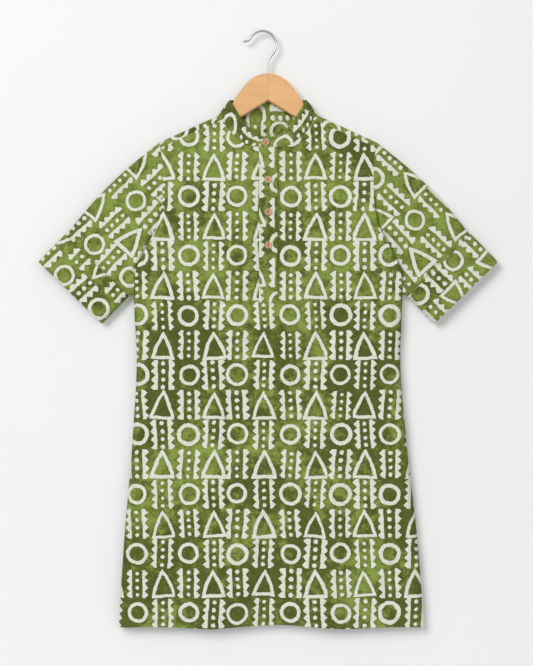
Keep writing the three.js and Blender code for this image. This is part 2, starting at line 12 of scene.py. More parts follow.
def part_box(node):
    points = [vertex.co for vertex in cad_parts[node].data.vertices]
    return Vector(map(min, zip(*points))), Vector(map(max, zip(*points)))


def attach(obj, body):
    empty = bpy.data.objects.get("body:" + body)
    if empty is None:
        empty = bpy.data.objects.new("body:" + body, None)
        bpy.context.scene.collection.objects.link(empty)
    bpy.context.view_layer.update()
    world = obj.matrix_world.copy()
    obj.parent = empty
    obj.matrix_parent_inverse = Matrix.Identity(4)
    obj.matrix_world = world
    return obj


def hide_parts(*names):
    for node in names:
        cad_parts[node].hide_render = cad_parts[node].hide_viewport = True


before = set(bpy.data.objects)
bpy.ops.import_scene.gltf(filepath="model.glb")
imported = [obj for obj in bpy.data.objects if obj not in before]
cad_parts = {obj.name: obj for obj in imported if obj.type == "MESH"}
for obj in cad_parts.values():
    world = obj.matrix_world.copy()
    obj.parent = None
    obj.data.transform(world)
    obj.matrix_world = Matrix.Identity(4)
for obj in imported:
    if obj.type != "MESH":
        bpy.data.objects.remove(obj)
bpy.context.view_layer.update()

bl_info = {
    "name": "Kurta Tunic",
    "version": (1, 0, 0),
    "blender": (4, 5, 0),
    "location": "3D View > Sidebar > Kurta",
    "description": "Builds a printed kurta tunic on a coat hanger around its packed frame",
    "category": "Object",
}

# ---- the tunic's sizes, in millimetres

MM = 0.001
CENTRE_X = 500.0 * (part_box("placket_over")[0].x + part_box("placket_over")[1].x)
HEM_DROP = -1000.0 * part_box("front")[0].z

SHOULDER_HALF = 173.3
RIDGE_NECK_X = 80.0
RIDGE_NECK_DROP = 134.0
RIDGE_SLOPE = math.tan(math.radians(24.6))
SEAM_FORWARD = 9.7
NECK_SIDE = 72.0
NECK_FLARE = 7.0
FLARE_REACH = 21.0
WRAP_RADIUS = 7.6
UNDERARM_DROP = 420.0
SLIT_DROP = 700.0
SWAY = 5.0
SIDE_ROUND = 14.0
UNDERARM_ROUND = 40.0
SIDE_HALF = 0.45
UNDERARM_HALF = 1.4
SLIT_OPEN = 3.0
HEM_WAVE = 0.7

# drop below the hook, half width of the panels
OUTLINE = np.array(
    [
        (180, 173.3),
        (215, 168),
        (265, 168.5),
        (305, 174),
        (345, 194.5),
        (387, 211.5),
        (420, 214.5),
        (520, 210.5),
        (650, 218.5),
        (800, 233),
        (950, 244),
    ]
)
# drop, half depth in front, half depth behind
DEPTHS = np.array(
    [(190, 7.6, 7.6), (300, 11.5, 10), (450, 11.5, 10.5), (700, 10.5, 9.5), (950, 9.5, 8.5)]
)
# distance from the centre line, drop of the neck seam
FRONT_NECK = np.array([(0, 186.3), (30, 183.7), (49, 171), (62, 158), (68, 150), (72, 140)])
BACK_NECK = np.array([(0, 142.6), (50, 141.4), (72, 140)])
# depth, width, drop, height
NECK_BULGE = (12.0, 42.0, 184.0, 70.0)
# x, width, depth, drop where each soft flute begins
FRONT_FLUTES = (
    (-175, 26, 2.5, 560),
    (-85, 34, 5, 620),
    (10, 38, -3, 600),
    (98, 36, 5, 600),
    (182, 24, 2.5, 640),
)
BACK_FLUTES = ((-150, 32, 3, 600), (-40, 36, 5, 640), (60, 34, -2.5, 620), (140, 36, 4.5, 580))
# x and drop of the middle, direction in degrees from straight down, length, width, height outwards
FRONT_CREASES = (
    (-62, 232, -24, 95, 7, 1.6),
    (70, 238, 28, 110, 7, 1.7),
    (-118, 262, -12, 120, 8, -1.6),
    (122, 270, 16, 130, 8, -1.8),
    (-146, 330, -30, 95, 6, 1.7),
    (150, 334, 32, 110, 6, 2.0),
    (-168, 392, -58, 80, 6, -1.8),
    (172, 396, 55, 90, 6, -2.2),
    (-95, 430, -20, 150, 10, 1.6),
    (88, 452, 14, 170, 11, -1.6),
    (-30, 470, 8, 140, 9, -1.3),
    (34, 520, -10, 170, 12, 1.5),
    (-150, 520, 10, 170, 11, 1.7),
    (158, 560, -8, 190, 12, 1.6),
    (-60, 620, 5, 210, 13, -1.8),
    (60, 700, -4, 220, 13, 1.7),
    (-130, 720, -6, 230, 12, -1.6),
    (130, 770, 5, 230, 13, -1.8),
    (-20, 800, 4, 200, 12, 1.5),
    (-196, 800, 2, 190, 9, 1.3),
    (205, 830, -3, 180, 9, -1.3),
)
BACK_CREASES = (
    (0, 205, 90, 170, 10, -1.8),
    (-70, 240, 35, 110, 8, 1.6),
    (80, 250, -32, 120, 8, 1.5),
    (-140, 330, 28, 110, 7, 1.8),
    (146, 340, -30, 100, 7, -1.8),
    (-40, 430, -8, 180, 12, 1.6),
    (66, 470, 12, 190, 11, -1.6),
    (-150, 540, -10, 200, 11, 1.8),
    (150, 600, 8, 190, 12, 1.6),
    (-80, 700, 5, 230, 13, -1.8),
    (20, 760, -5, 220, 12, 1.6),
    (110, 800, 4, 210, 12, 1.8),
    (-190, 820, -3, 160, 9, 1.3),
)
# The same on the wearer's left sleeve; the right sleeve's are mirrored and weaker
SLEEVE_CREASES = (
    (186, 300, 8, 120, 6, -3.0),
    (200, 345, 30, 110, 7, 2.4),
    (212, 380, 52, 90, 5, -2.4),
    (232, 300, 48, 130, 9, 1.8),
    (262, 330, 50, 120, 10, -1.8),
    (225, 250, 44, 120, 9, -1.4),
    (290, 350, 47, 100, 9, 1.3),
)

CREASE_GAIN = 2.0

# distances from the centre line that always carry a line of the mesh
COLUMNS = (0, 13.5, 14.6, 16.2, 18.6, 30, 49, 62, 68, 72, 93, 118, 142, 159, 169, 171.4, 173.3)
SLOT_HALF = 13.5
SLOT_LEVEL = 430.0
PLACKET_HALF = 14.0
PLACKET_OVERHANG = 4.0

COLLAR_RATIO = 0.77
COLLAR_FRONT_DROP = 169.3
COLLAR_FRONT_RISE = 0.0165
COLLAR_BACK_DROP = 106.0
COLLAR_BACK_FALL = 0.0006
COLLAR_TOP_DEPTH = 9.0
COLLAR_LAP = 1.6
COLLAR_CORNER = 10.0
# where along the band the lap begins to fade, and over what length
COLLAR_LAP_REACH = 24.0
COLLAR_LAP_FADE = 14.0
# how the band bellies outwards: shares of the seam's x and y, and how far
COLLAR_BELLY_WAY = (0.35, 1.6, 0)
COLLAR_BELLY = 1.1
OVER_END = -11.5
UNDER_END = 12.0

CUFF_TOP = np.array((365.0, 0.0, -368.0))
CUFF_BOTTOM = np.array((266.5, 0.0, -464.0))
TURN_UP = 60.0
SLEEVE_DEPTH = 8.0
MOUTH_DEPTH = 7.0
CAP_BULGE = 8.0
TUCK_DEPTHS = {"left": 8.5, "right": 4.5}
TUCK_REACH = 8.5
TUCK_START = 0.25
TUCK_FADE = 0.2
CUFF_RIM = 0.7
CUFF_RIM_ROUND = 0.2

HOOK_RADIUS = 22.0
WIRE = 3.6
CROWN_DROP = 66.5
SHANK_DEPTH = 20.0
SHANK_TOP = -52.0
CROWN_ARC = (-40, 150)
SWELL_PULLS = ((0, 8), (-5, -6))
TIP = (-10.5, -5.8)
TIP_PULLS = ((-2.3, -4), (-5.5, -5.6))

CLOTH = 0.8
PLACKET_LAYER = 1.9
CUFF_LAYER = 1.9
SLOT_GAP = 0.5
SEAM_DITCH = 0.7
PLACKET_DITCH = 1.2
CUFF_DITCH = 2.2
MESH_STEP = 3.4
FINE_STEP = 2.4

# rows of stitches: above the hem, from the centre line, above the slit's top
HEM_STITCH = 14.0
SLIT_STITCH_X = 168.5
SLIT_STITCH_RISE = 6.0

# Print: pitch of the block's columns and rows, and its motifs
COLUMN_PITCH = 40.5
ROW_PITCH = 47.43
TRIANGLE_COLUMN_X = -6.9
TRIANGLE_ROW_DROP = 216.0
# how far each piece's print is shifted across and down from the front's
BACK_PRINT = (COLUMN_PITCH * 10.35, 12.0)
OVER_PRINT = (17.0, 21.0)
UNDER_PRINT = (5.0, 30.0)
COLLAR_PRINT = (COLUMN_PITCH / 2, 11.0)
SLEEVE_PRINT = {"left": (1.0, -332.0 - 4 * ROW_PITCH), "right": (-4.0, -294.0 - 4 * ROW_PITCH)}

# Stage, in metres: middle of the view in millimetres from the centre line, wall, floor and lights
VIEW_CENTRE = (-2.7, -481.3)
WALL_BEHIND = 0.0152
WALL_SIZE = (1.7, 1.56, 1)
WALL_HEIGHT = -0.42
FLOOR_RADIUS = 0.95
FLOOR_GAP = 0.25
LIT_HEIGHT = -0.45
# name, place, size, share of the key light's power
LIGHTS = (
    ("key", (-1.7, -3.6, 1.15), 2.0, 1.0),
    ("fill", (1.6, -3.6, -0.3), 2.6, 0.2),
    ("rear", (1.2, 2.6, 0.9), 2.0, 0.35),
)
FACE_FRONT = (math.pi / 2, 0, 0)


# ---- settings


class KurtaSettings(bpy.types.PropertyGroup):
    """Sizes and colours of the tunic that a user would change."""

    leaf: FloatVectorProperty(
        name="Leaf green", description="Lighter green of the dyed ground",
        default=(0.245, 0.322, 0.062), subtype="COLOR", size=3,
    )
    moss: FloatVectorProperty(
        name="Moss green", description="Darker green of the dyed ground",
        default=(0.138, 0.175, 0.026), subtype="COLOR", size=3,
    )
    olive: FloatVectorProperty(
        name="Dark olive", description="Blotches where the dye has taken twice",
        default=(0.05, 0.058, 0.0085), subtype="COLOR", size=3,
    )
    cream: FloatVectorProperty(
        name="Cream", description="Undyed cotton of the motifs",
        default=(0.71, 0.705, 0.61), subtype="COLOR", size=3,
    )
    cotton_roughness: FloatProperty(
        name="Cotton roughness", description="Roughness of the printed cotton",
        default=0.88, min=0.0, max=1.0, subtype="FACTOR",
    )
    stitch_length: FloatProperty(
        name="Stitch length", description="Length of one stitch with its gap",
        default=3.2 * MM, min=0.001, unit="LENGTH",
    )


class HangerSettings(bpy.types.PropertyGroup):
    """Finish of the hanger and its hook."""

    beech: FloatVectorProperty(
        name="Beech", description="Pale wood of the hanger", default=(0.69, 0.375, 0.143),
        subtype="COLOR", size=3,
    )
    wire_radius: FloatProperty(
        name="Wire radius", description="Radius of the hook's wire", default=WIRE / 2 * MM,
        min=0.001, unit="LENGTH",
    )


class StageSettings(bpy.types.PropertyGroup):
    """Camera and light."""

    distance: FloatProperty(
        name="Camera distance", description="From the camera to the tunic's middle plane",
        default=2.6, min=0.5, unit="LENGTH",
    )
    view_height: FloatProperty(
        name="View height", description="Height of what the camera takes in at the tunic",
        default=1.0656, min=0.1, unit="LENGTH",
    )
    key_power: FloatProperty(
        name="Key light", description="Power of the large soft light at the upper left",
        default=120.0, min=0.0, unit="POWER",
    )


# ---- small helpers


def smooth(share):
    share = np.clip(share, 0.0, 1.0)
    return share * share * (3 - 2 * share)


def rounded(share):
    """Quarter-round profile: 0 at the edge, 1 from a share of 1 inwards."""
    return np.sqrt(1 - (1 - np.clip(share, 0.0, 1.0)) ** 2)


def bell(value):
    return np.exp(-value * value)


def read_table(table, column, at):
    """A column of a table between its rows, on a smooth curve that never overshoots."""
    keys, values = table[:, 0], table[:, column]
    spans = np.diff(keys)
    slopes = np.diff(values) / spans
    before, after = slopes[:-1], slopes[1:]
    same_way = before * after > 0
    inner = np.where(same_way, 2 * before * after / np.where(same_way, before + after, 1), 0)
    tangents = np.concatenate((slopes[:1], inner, slopes[-1:]))
    at = np.clip(at, keys[0], keys[-1])
    k = np.clip(np.searchsorted(keys, at, side="right") - 1, 0, len(keys) - 2)
    t = (at - keys[k]) / spans[k]
    return (
        values[k] * (1 + 2 * t) * (1 - t) ** 2
        + tangents[k] * spans[k] * t * (1 - t) ** 2
        + values[k + 1] * t * t * (3 - 2 * t)
        + tangents[k + 1] * spans[k] * t * t * (t - 1)
    )


def subdivided(stops, step):
    """The stops with equal steps of about `step` between each two."""
    parts = []
    for start, end in zip(stops, stops[1:]):
        count = max(1, round(abs(end - start) / step))
        parts.append(np.linspace(start, end, count, endpoint=False))
    return np.concatenate([*parts, stops[-1:]])


# ---- the form of the cloth


def ridge_drop(x):
    return RIDGE_NECK_DROP + (np.abs(x) - RIDGE_NECK_X) * RIDGE_SLOPE


def flutes(table, x, drop):
    total = np.zeros_like(x)
    for middle, width, depth, start in table:
        total += depth * bell((x - middle) / width) * smooth((drop - start) / (HEM_DROP - start))
    return total


def creases(table, x, drop):
    """Soft ridges and troughs, each fading out at its ends."""
    total = np.zeros_like(x)
    for middle, level, degrees, length, width, height in table:
        angle = math.radians(degrees)
        along = (x - middle) * math.sin(angle) + (drop - level) * math.cos(angle)
        aside = (x - middle) * math.cos(angle) - (drop - level) * math.sin(angle)
        bowed = aside + 0.06 * length * np.sin(along / length * math.pi)
        total += height * bell(bowed / width) * bell(along / (0.45 * length))
    return total


def cloth_relief(side, x, drop):
    """What the creases of body and sleeves add to the depth at a place."""
    body = creases(FRONT_CREASES if side < 0 else BACK_CREASES, x, drop)
    left = creases(SLEEVE_CREASES, x, drop)
    right = creases(SLEEVE_CREASES, -x * 1.02, drop + 8) * 0.6
    ripple = 0.25 * np.sin(x / 9.0 + drop / 31.0) * np.sin(drop / 17.0 - x / 37.0)
    return CREASE_GAIN * (body + left + right) + ripple


def body_depth(side, x, drop):
    middle = read_table(DEPTHS, 1 if side < 0 else 2, drop)
    if side > 0:
        return middle + flutes(BACK_FLUTES, x, drop)
    depth, width, level, height = NECK_BULGE
    bulge = depth * bell(x / width) * bell((drop - level) / height)
    return middle + flutes(FRONT_FLUTES, x, drop) + bulge


def edge_depth(side, drop):
    """Distance of a panel's outer edge from the middle plane."""
    middle = read_table(DEPTHS, 1 if side < 0 else 2, drop)
    full = np.maximum(UNDERARM_HALF, middle * rounded((UNDERARM_DROP - drop) / UNDERARM_ROUND))
    closing = 1 - smooth((drop - UNDERARM_DROP) / (UNDERARM_ROUND / 2))
    opening = smooth((drop - SLIT_DROP) / (HEM_DROP - SLIT_DROP))
    seam = SIDE_HALF + (UNDERARM_HALF - SIDE_HALF) * closing + SLIT_OPEN * opening
    return np.where(drop < UNDERARM_DROP, full, seam)


def panel_top(side, across):
    reach = np.abs(across)
    neck = read_table(FRONT_NECK if side < 0 else BACK_NECK, 1, reach)
    return np.where(reach < NECK_SIDE, neck, ridge_drop(reach) + SEAM_FORWARD)


def panel_points(side, across, down):
    """Points of the front (side -1) or back (side 1): x at shoulder level, share of the way down."""
    across, down = np.broadcast_arrays(np.asarray(across, float), np.asarray(down, float))
    top = panel_top(side, across)
    table = FRONT_FLUTES if side < 0 else BACK_FLUTES
    hem = HEM_DROP + HEM_WAVE * (flutes(table, across, HEM_DROP) - 1)
    drop = top + (hem - top) * down
    half = read_table(OUTLINE, 1, drop)
    share = across / SHOULDER_HALF
    level = across + (half - SHOULDER_HALF) * share * np.abs(share)
    x = level + SWAY * smooth((drop - UNDERARM_DROP) / (HEM_DROP - UNDERARM_DROP))
    inset = half - np.abs(level)
    edge = edge_depth(side, drop)
    full = body_depth(side, x, drop) + cloth_relief(side, x, drop) * smooth(inset / 30)
    depth = edge + (full - edge) * rounded(inset / SIDE_ROUND)
    ditch = SEAM_DITCH * bell(inset / 2) * smooth((UNDERARM_DROP - drop) / UNDERARM_ROUND)
    if side < 0:
        beside = (np.abs(across) - PLACKET_HALF - 2) / 1.8
        above = smooth((SLOT_LEVEL + PLACKET_OVERHANG - drop) / 8)
        ditch = ditch + PLACKET_DITCH * bell(beside) * above
    return np.stack((x, side * (depth - ditch), -drop), axis=-1)


def wrap_points(across, turn):
    """The back panel's fold over the shoulder, from turn 0 in front to 1 behind."""
    across, turn = np.broadcast_arrays(np.asarray(across, float), np.asarray(turn, float))
    up = np.sin(np.pi * turn)
    flare = NECK_FLARE * up * np.clip(1 - (np.abs(across) - NECK_SIDE) / FLARE_REACH, 0, 1)
    x = across + np.sign(across) * flare
    drop = ridge_drop(x) + WRAP_RADIUS * (1 - up)
    return np.stack((x, -WRAP_RADIUS * np.cos(np.pi * turn), -drop), axis=-1)


SEAM_TIP_DROP = float(ridge_drop(SHOULDER_HALF) + SEAM_FORWARD)
ACROSS_STOPS = np.array([-x for x in COLUMNS[:0:-1]] + list(COLUMNS))
LEVEL_STOPS = np.array((SEAM_TIP_DROP, UNDERARM_DROP, SLOT_LEVEL, SLIT_DROP, HEM_DROP))
ACROSS = subdivided(ACROSS_STOPS, MESH_STEP)
LEVELS = subdivided(LEVEL_STOPS, MESH_STEP + 0.3)
DOWN = (LEVELS - SEAM_TIP_DROP) / (HEM_DROP - SEAM_TIP_DROP)
SLOT_ROW = int(np.argmin(np.abs(LEVELS - SLOT_LEVEL)))
UNDERARM_ROW = int(np.argmin(np.abs(LEVELS - UNDERARM_DROP)))
WRAP_TURNS = np.linspace(0, 1, 11)[1:-1]


# ---- cloth walls from lattices


def lattice_cells(rows, columns, closed=False, flip=False, keep=None):
    """Quads of a lattice that runs down and, seen from outside, to the right."""
    spans = columns if closed else columns - 1
    j, i = np.meshgrid(np.arange(rows - 1), np.arange(spans), indexing="ij")
    if keep is not None:
        j, i = j[keep], i[keep]
    j, i = j.ravel(), i.ravel()
    upper, lower, right = j * columns, (j + 1) * columns, (i + 1) % columns
    cells = np.stack((upper + i, lower + i, lower + right, upper + right), axis=1)
    return cells[:, ::-1] if flip else cells


def lattice_normals(points, cells):
    a, b, c, d = (points[cells[:, k]] for k in range(4))
    faces = np.cross(c - a, d - b)
    faces /= np.maximum(norm(faces, axis=1, keepdims=True), 1e-9)
    normals = np.zeros_like(points)
    for k in range(4):
        np.add.at(normals, cells[:, k], faces)
    return normals / np.maximum(norm(normals, axis=1, keepdims=True), 1e-9)


def lifted(lattice, distance, **options):
    """The lattice moved outwards: the layer that lies on a panel."""
    rows, columns = lattice.shape[:2]
    points = lattice.reshape(-1, 3)
    normals = lattice_normals(points, lattice_cells(rows, columns, **options))
    return (points + normals * distance).reshape(lattice.shape)


def cloth(node, lattice, print_at, **options):
    """A closed thin wall around a lattice of mid-surface points, with its print's coordinates as UV."""
    rows, columns = lattice.shape[:2]
    points = lattice.reshape(-1, 3)
    cells = lattice_cells(rows, columns, **options)
    normals = lattice_normals(points, cells)
    count = len(points)
    outer, inner = points + normals * CLOTH / 2, points - normals * CLOTH / 2
    edges = np.concatenate([cells[:, [k, (k + 1) % 4]] for k in range(4)])
    codes = edges[:, 0] * count + edges[:, 1]
    rim = edges[~np.isin(edges[:, 1] * count + edges[:, 0], codes)]
    rim_faces = np.stack((rim[:, 1], rim[:, 0], rim[:, 0] + count, rim[:, 1] + count), axis=1)
    faces = np.concatenate((cells, cells[:, ::-1] + count, rim_faces))
    used, packed = np.unique(faces, return_inverse=True)
    packed = packed.reshape(faces.shape)
    places = np.concatenate((outer, inner))[used]
    places[:, 0] += CENTRE_X
    mesh = bpy.data.meshes.new(f"kurta_{node}")
    mesh.from_pydata((places * MM).tolist(), [], packed.tolist())
    print_points = np.tile(print_at.reshape(-1, 2), (2, 1))[used]
    layer = mesh.uv_layers.new(name="print")
    layer.data.foreach_set("uv", (print_points[packed.ravel()] * MM).astype(np.float32).ravel())
    mesh.materials.append(made("block_print", printed_cotton, bpy.context.scene.kurta))
    mesh.validate()
    piece = bpy.data.objects.new(f"kurta_{node}", mesh)
    bpy.context.collection.objects.link(piece)
    shade(piece, 60)
    finish_piece(piece, "printed_cotton", node)
    return piece


def shade(piece, degrees):
    """Smooth shading, sharp where faces meet at more than this angle."""
    select_only(piece)
    bpy.ops.object.shade_smooth_by_angle(angle=math.radians(degrees))


def select_only(*pieces):
    bpy.ops.object.select_all(action="DESELECT")
    for piece in pieces:
        piece.select_set(True)
    bpy.context.view_layer.objects.active = pieces[0]


def added(add, **options):
    """The object that an operator adds, with nothing else selected."""
    bpy.ops.object.select_all(action="DESELECT")
    add(**options)
    return bpy.context.object


def finish_piece(piece, slot, *nodes):
    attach(piece, "root")
    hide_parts(*nodes)


def body_print(lattice, shift=(0.0, 0.0)):
    """Print coordinates of a body panel: across from a triangle column, down from a triangle row."""
    across = lattice[..., 0] - TRIANGLE_COLUMN_X
    down = -lattice[..., 2] - TRIANGLE_ROW_DROP
    return np.stack((across, down), axis=-1) + np.array(shift)


# ---- node graphs


class Value:
    """A number in a material, with arithmetic that adds the nodes for it."""

    def __init__(self, graph, socket):
        self.graph = graph
        self.socket = socket

    def __add__(self, other):
        return self.graph.math("ADD", self, other)

    def __sub__(self, other):
        return self.graph.math("SUBTRACT", self, other)

    def __rsub__(self, other):
        return self.graph.math("SUBTRACT", other, self)

    def __mul__(self, other):
        return self.graph.math("MULTIPLY", self, other)

    def __truediv__(self, other):
        return self.graph.math("DIVIDE", self, other)

    def __abs__(self):
        return self.graph.math("ABSOLUTE", self)


class Graph:
    """Short names for the nodes of one material."""

    def __init__(self, name):
        self.material = bpy.data.materials.new(name)
        self.material.use_nodes = True
        self.nodes = self.material.node_tree.nodes
        self.links = self.material.node_tree.links
        self.shader = self.nodes["Principled BSDF"]

    def put(self, target, value):
        value = value.socket if isinstance(value, Value) else value
        if isinstance(value, bpy.types.NodeSocket):
            self.links.new(value, target)
        else:
            target.default_value = value

    def math(self, operation, *values):
        node = self.nodes.new("ShaderNodeMath")
        node.operation = operation
        for target, value in zip(node.inputs, values):
            self.put(target, value)
        return Value(self, node.outputs[0])

    def here(self):
        """The place on the object."""
        return self.nodes.new("ShaderNodeTexCoord").outputs["Object"]

    def vector(self, x, y, z=0.0):
        node = self.nodes.new("ShaderNodeCombineXYZ")
        for target, value in zip(node.inputs, (x, y, z)):
            self.put(target, value)
        return node.outputs[0]

    def split(self, vector):
        node = self.nodes.new("ShaderNodeSeparateXYZ")
        self.put(node.inputs[0], vector)
        return [Value(self, socket) for socket in node.outputs[:3]]

    def noise(self, vector, scale, detail=2.0, roughness=0.5):
        node = self.nodes.new("ShaderNodeTexNoise")
        self.put(node.inputs["Vector"], vector)
        node.inputs["Scale"].default_value = scale
        node.inputs["Detail"].default_value = detail
        node.inputs["Roughness"].default_value = roughness
        return Value(self, node.outputs["Fac"])

    def random(self, x, y, z):
        """Three random numbers that stay the same over one cell."""
        node = self.nodes.new("ShaderNodeTexWhiteNoise")
        node.noise_dimensions = "3D"
        self.put(node.inputs["Vector"], self.vector(x, y, z))
        return self.split(node.outputs["Color"])

    def ramp(self, value, low, high):
        """0 at low, 1 at high, smooth between."""
        node = self.nodes.new("ShaderNodeMapRange")
        node.interpolation_type = "SMOOTHSTEP"
        for target, number in zip(node.inputs, (value, low, high, 0.0, 1.0)):
            self.put(target, number)
        return Value(self, node.outputs[0])

    def mix(self, share, first, second):
        node = self.nodes.new("ShaderNodeMix")
        node.data_type = "RGBA"
        self.put(node.inputs["Factor"], share)
        for target, value in zip(node.inputs[6:8], (first, second)):
            self.put(target, value if isinstance(value, bpy.types.NodeSocket) else (*value, 1.0))
        return node.outputs[2]

    def bump(self, height, distance):
        node = self.nodes.new("ShaderNodeBump")
        node.inputs["Distance"].default_value = distance
        self.put(node.inputs["Height"], height)
        self.links.new(node.outputs[0], self.shader.inputs["Normal"])

    def colour(self, value):
        self.put(self.shader.inputs["Base Color"], value)

    def fixed(self, **sockets):
        for name, value in sockets.items():
            self.shader.inputs[name.replace("_", " ")].default_value = value


# ---- materials


def strip_motif(graph, u, v):
    """Two saw-toothed strips with a column of dots between: signed distance in millimetres."""
    inner_edge, root, tooth, half_height, pitch, dot = 8.8, 3.6, 6.0, 24.0, 12.1, 3.1
    place = graph.math("MODULO", v + (3 * pitch + half_height), pitch)
    from_middle = abs(place - pitch / 2)
    reach = from_middle * (-2 * tooth / pitch) + (inner_edge + root + tooth)
    past_tip = (abs(u) - reach) * 0.75
    sides = graph.math("MAXIMUM", past_tip, inner_edge - abs(u))
    strip = graph.math("MAXIMUM", sides, abs(v) - half_height)
    round_dot = graph.math("SQRT", u * u + from_middle * from_middle) - dot
    return graph.math("MINIMUM", strip, round_dot)


def triangle_motif(graph, u, v):
    """An outlined triangle standing on its base, with bowed sides."""
    half_width, height, stroke, bulge = 19.5, 45.0, 5.0, 2.4
    slant = math.hypot(half_width, height)
    middle = v / (height / 2)
    side = abs(u) * (height / slant) - (v + height / 2) * (half_width / slant)
    side = side + (middle * middle * bulge - bulge)
    edge = graph.math("MAXIMUM", side, v - height / 2)
    return abs(edge + stroke / 2) - stroke / 2


def ring_motif(graph, u, v):
    radius, stroke = 14.4, 5.4
    return abs(graph.math("SQRT", u * u + v * v) - radius) - stroke / 2


def printed_cotton(settings):
    """Hand-blocked resist print: a checker of ring, triangle and saw-toothed strips on dyed cotton."""
    graph = Graph("block_print")
    uv = graph.nodes.new("ShaderNodeUVMap")
    uv.uv_map = "print"
    a, b, _ = graph.split(uv.outputs[0])
    a, b = a * (1 / MM), b * (1 / MM)
    place = graph.vector(a, b)

    # Each cell's block slips, turns and swells a little
    slip, column_slip, turn_range, size_range, bend = 2.2, 4.0, 0.15, 0.14, 3.4
    column = graph.math("ROUND", a / COLUMN_PITCH)
    row = graph.math("ROUND", b / ROW_PITCH)
    shift_a, shift_b, pressure = graph.random(column, row, 3.0)
    turn, size, _ = graph.random(column, row, 21.0)
    column_shift, _, _ = graph.random(column, 0.0, 9.0)
    u = a - column * COLUMN_PITCH + (shift_a - 0.5) * slip + (column_shift - 0.5) * column_slip
    v = b - row * ROW_PITCH + (shift_b - 0.5) * slip
    turn = (turn - 0.5) * turn_range
    size = size * size_range + (1 - size_range / 2)
    u, v = (turn * v + u) * size, (v - turn * u) * size
    u = (graph.noise(place, 0.055, 1.0) - 0.5) * bend + u
    v = (graph.noise(graph.vector(b, a, 40.0), 0.055, 1.0) - 0.5) * bend + v

    odd_column = abs(graph.math("MODULO", column, 2.0))
    odd_cell = abs(graph.math("MODULO", column + row, 2.0))
    ring, triangle, strip = (draw(graph, u, v) for draw in (ring_motif, triangle_motif, strip_motif))
    block = (ring - triangle) * odd_column + triangle
    distance = (strip - block) * odd_cell + block
    ragged = graph.noise(place, 0.28, 3.0, 0.6) - 0.5
    distance = ragged * 3.2 + distance + (pressure - 0.5) * 0.6
    motif = graph.ramp(distance, 0.55, -0.45)

    # Dye: two greens, large blotches, halos round the paste, and fine specks and streaks
    clouds = graph.ramp(graph.noise(place, 0.05, 6.0, 0.68), 0.36, 0.6)
    ground = graph.mix(clouds, settings.moss, settings.leaf)
    mottle = graph.noise(graph.vector(a, b, 61.0), 0.085, 6.0, 0.72)
    # The blotches grow denser the further down the print runs, so the body panels turn darker towards
    # the hem while chest and sleeves stay lighter.
    patches = graph.noise(graph.vector(a, b, 17.0), 0.0095) + graph.ramp(b, 40.0, 290.0) * 0.115
    blotch = graph.ramp(mottle * 0.75 + patches, 0.87, 1.05)
    ground = graph.mix(blotch * 0.8, ground, settings.olive)
    halo = graph.ramp(distance, 5.0, 0.3) * graph.ramp(mottle, 0.35, 0.6)
    ground = graph.mix(halo * 0.42, ground, settings.olive)
    speck = graph.ramp(graph.noise(graph.vector(a, b, 5.0), 0.7, 4.0, 0.75), 0.54, 0.68)
    ground = graph.mix(speck * 0.5, ground, settings.leaf)
    streak = graph.ramp(graph.noise(graph.vector(a * 0.4, b, 29.0), 0.45, 5.0, 0.7), 0.5, 0.66)
    ground = graph.mix(streak * 0.42, ground, settings.olive)
    stain = graph.ramp(graph.noise(graph.vector(a, b, 88.0), 0.4, 4.0, 0.7), 0.46, 0.76)
    paste = graph.mix(stain * 0.5, settings.cream, settings.leaf)
    graph.colour(graph.mix(motif, ground, paste))

    threads = 2 * math.pi / 0.62
    weave = graph.math("SINE", a * threads) * graph.math("SINE", b * threads)
    slub = graph.noise(graph.vector(a * 0.2, b), 1.1)
    crumple = graph.noise(place, 0.09, 4.0, 0.55)
    graph.bump(crumple * 5.0 + (slub * 0.8 + weave * 0.35), 0.00022)
    graph.fixed(Roughness=settings.cotton_roughness, Specular_IOR_Level=0.12)
    graph.fixed(Sheen_Weight=0.06, Sheen_Roughness=0.6)
    return graph.material


def sewing_thread(settings):
    graph = Graph("sewing_thread")
    here = graph.here()
    graph.colour(graph.mix(graph.noise(here, 900.0), settings.moss, settings.leaf))
    graph.bump(graph.noise(here, 4000.0), 0.0001)
    graph.fixed(Roughness=0.7)
    return graph.material


def beech_wood(name, settings, lean, tone):
    """Lacquered beech with fine flecks along the arm."""
    graph = Graph(name)
    mapping = graph.nodes.new("ShaderNodeMapping")
    graph.put(mapping.inputs["Vector"], graph.here())
    mapping.inputs["Rotation"].default_value = (0.0, lean, 0.0)
    mapping.inputs["Scale"].default_value = (10.0, 90.0, 90.0)
    along = mapping.outputs[0]
    grain = graph.noise(along, 1.1, 5.0, 0.55)
    fleck = graph.noise(along, 9.0, 2.0, 0.6)
    pale = tuple(tone * channel for channel in settings.beech)
    dark = tuple(0.7 * channel for channel in pale)
    colour = graph.mix(graph.ramp(grain, 0.3, 0.75) * 0.4, pale, dark)
    graph.colour(graph.mix(graph.ramp(fleck, 0.58, 0.75) * 0.3, colour, dark))
    graph.bump(fleck, 0.00012)
    graph.fixed(Roughness=0.48, Coat_Weight=0.12, Coat_Roughness=0.3)
    return graph.material


def button_thread(settings):
    graph = Graph("button_thread")
    twist = graph.noise(graph.here(), 1800.0)
    graph.colour(graph.mix(twist, (0.05, 0.03, 0.016), settings.olive))
    graph.bump(twist, 0.0001)
    graph.fixed(Roughness=0.75)
    return graph.material


def bright_wire():
    graph = Graph("bright_wire")
    haze = graph.noise(graph.here(), 240.0, 3.0)
    graph.colour(graph.mix(haze, (0.36, 0.37, 0.39), (0.5, 0.51, 0.53)))
    graph.put(graph.shader.inputs["Roughness"], haze * 0.1 + 0.24)
    graph.bump(haze, 0.000005)
    graph.fixed(Metallic=1.0)
    return graph.material


